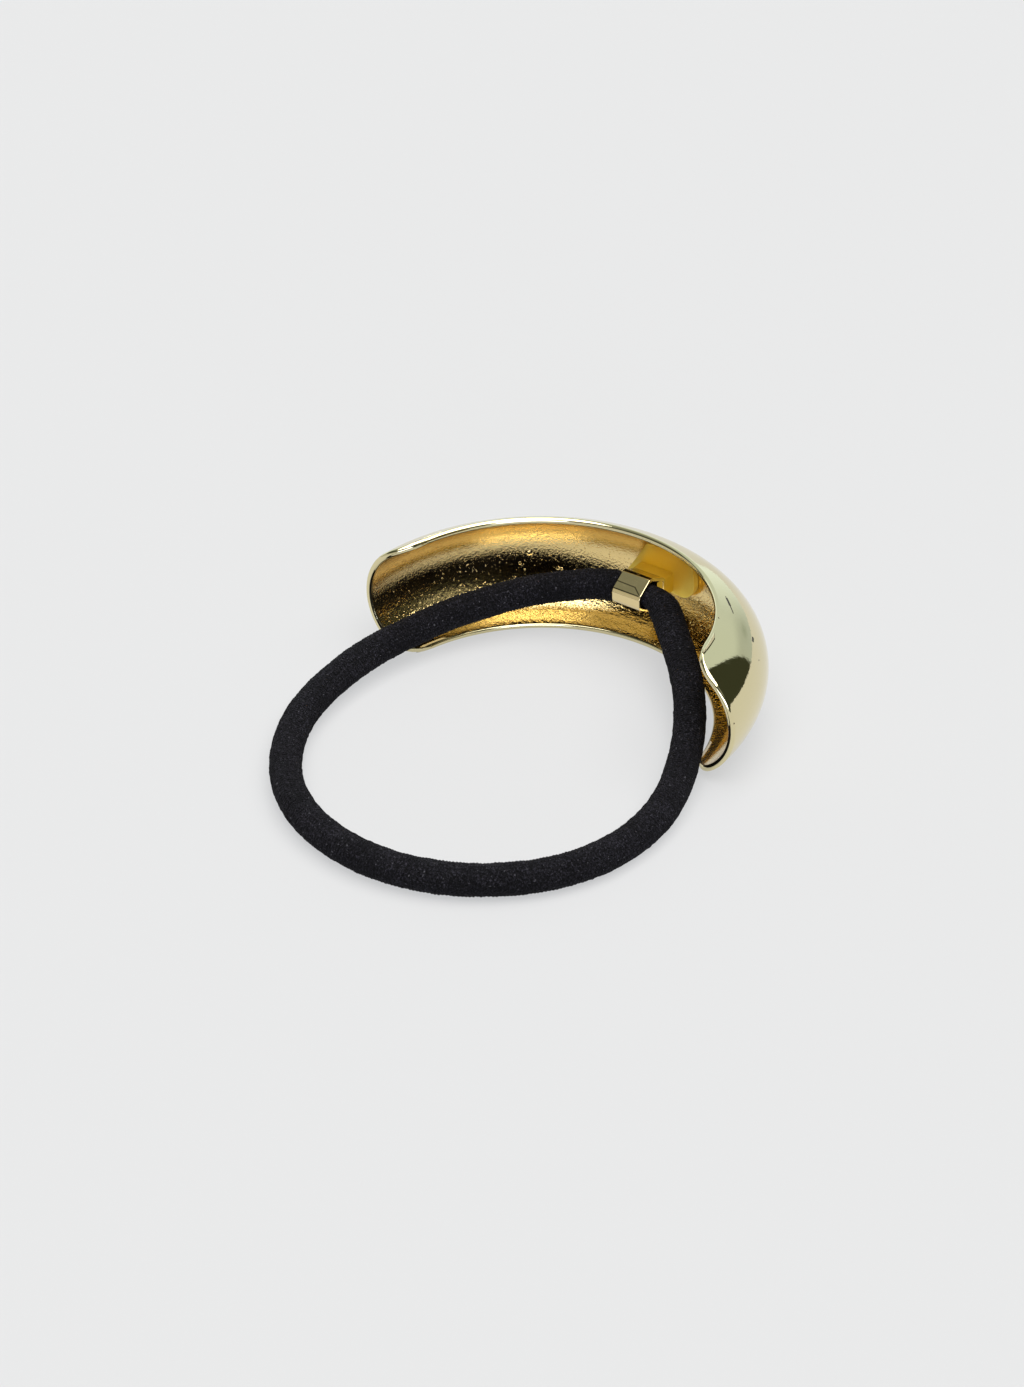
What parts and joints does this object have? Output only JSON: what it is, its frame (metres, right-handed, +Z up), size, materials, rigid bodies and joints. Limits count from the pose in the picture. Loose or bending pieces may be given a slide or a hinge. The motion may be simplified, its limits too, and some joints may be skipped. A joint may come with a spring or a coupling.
{
  "type": "hair tie",
  "caption": "Ponytail hair tie: a domed half-ring metal cuff, open towards its axis, with a knitted elastic loop clamped to a small bracket inside it.",
  "frame": {"origin": "on the axis of the cuff's half ring, in the plane that its lower rim rests on", "axes": "+Z up along the cuff's axis, +Y towards the middle of the half ring, +X towards its right end seen from the axis"},
  "size_m": [0.0562, 0.0669, 0.0162],
  "materials": {
    "cuff_metal": "polished pale gold plating outside, slightly rough cast surface inside",
    "bracket_metal": "smooth yellow gold plating",
    "clamp_metal": "polished pale gold plating, crimped",
    "elastic_knit": "fine black knit over rubber"
  },
  "bodies": {
    "root": {"cuff": "cuff_metal", "seat_bracket": "bracket_metal", "clamp_band": "clamp_metal", "elastic_loop": "elastic_knit"}
  },
  "joints": []
}
